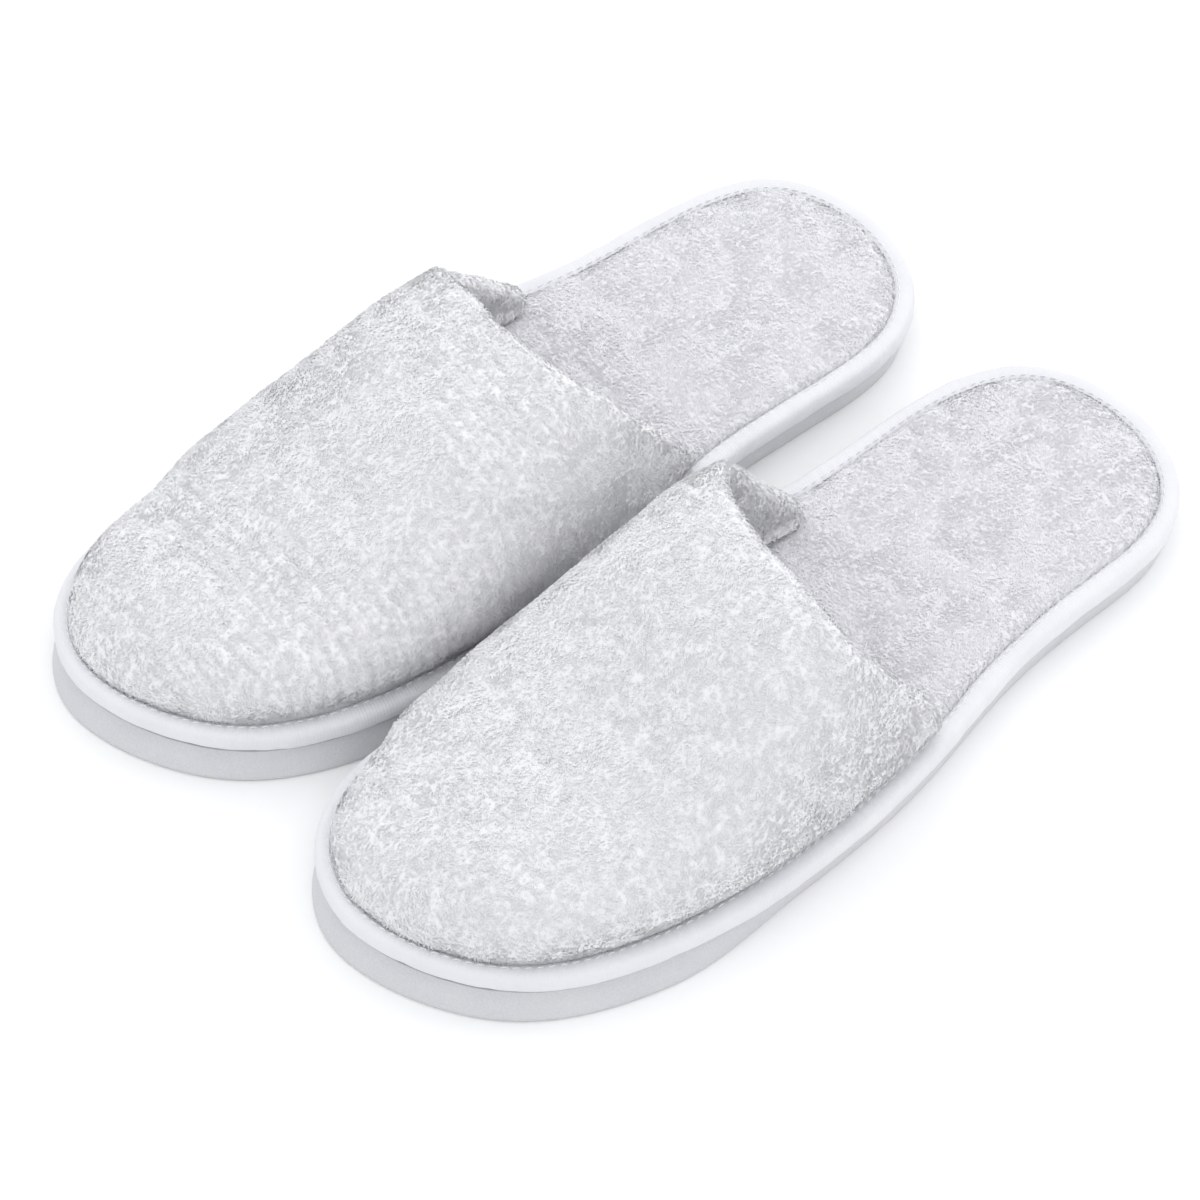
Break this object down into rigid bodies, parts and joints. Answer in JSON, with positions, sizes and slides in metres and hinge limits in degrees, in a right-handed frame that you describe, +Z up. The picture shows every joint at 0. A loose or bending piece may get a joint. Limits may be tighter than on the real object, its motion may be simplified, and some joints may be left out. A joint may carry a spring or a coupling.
{
  "type": "spa slippers",
  "caption": "Pair of white closed-toe, open-backed plush spa slippers with knitted edge binding on a flat foam outsole.",
  "frame": {"origin": "centre of the pair's bounding box on the floor plane that both outsoles rest on", "axes": "+Z up from the floor, +Y from the toes to the heels, +X from the right slipper to the left slipper as worn"},
  "size_m": [0.2175, 0.2948, 0.0726],
  "materials": {
    "eva_foam": "matte closed-cell foam, fine skin texture",
    "fibre_board": "stiff fibre insole board, off-white",
    "soft_foam": "open-cell polyurethane foam sheet",
    "plush": "white coral fleece, short dense pile",
    "binding_tape": "white knitted polyester tape, fine ribs",
    "thread": "white spun polyester sewing thread"
  },
  "bodies": {
    "left_front": {"left_outsole_front": "eva_foam", "left_insole_board_front": "fibre_board", "left_insole_pad_front": "soft_foam", "left_insole_cover_front": "plush", "left_binding_front": "binding_tape", "left_binding_stitching_front": "thread", "left_upper_outer": "plush", "left_upper_foam": "soft_foam", "left_upper_lining": "plush"},
    "left_rear": {"left_outsole_rear": "eva_foam", "left_insole_board_rear": "fibre_board", "left_insole_pad_rear": "soft_foam", "left_insole_cover_rear": "plush", "left_binding_rear": "binding_tape", "left_binding_stitching_rear": "thread"},
    "right_front": {"right_outsole_front": "eva_foam", "right_insole_board_front": "fibre_board", "right_insole_pad_front": "soft_foam", "right_insole_cover_front": "plush", "right_binding_front": "binding_tape", "right_binding_stitching_front": "thread", "right_upper_outer": "plush", "right_upper_foam": "soft_foam", "right_upper_lining": "plush"},
    "right_rear": {"right_outsole_rear": "eva_foam", "right_insole_board_rear": "fibre_board", "right_insole_pad_rear": "soft_foam", "right_insole_cover_rear": "plush", "right_binding_rear": "binding_tape", "right_binding_stitching_rear": "thread"}
  },
  "joints": [
    {"name": "right_slipper_slide", "type": "slide", "parent": "left_front", "child": "right_front", "axis": [-1, 0, 0], "range_m": [0, 0.15]},
    {"name": "left_sole_flex", "type": "hinge", "parent": "left_front", "child": "left_rear", "pos_m": [0.0505, 0.052, 0.0195], "axis": [1, 0, 0], "range_deg": [0, 45], "stiffness_Nm_per_rad": 0.15},
    {"name": "right_sole_flex", "type": "hinge", "parent": "right_front", "child": "right_rear", "pos_m": [-0.059, 0.043, 0.0195], "axis": [1, 0, 0], "range_deg": [0, 45], "stiffness_Nm_per_rad": 0.15}
  ]
}
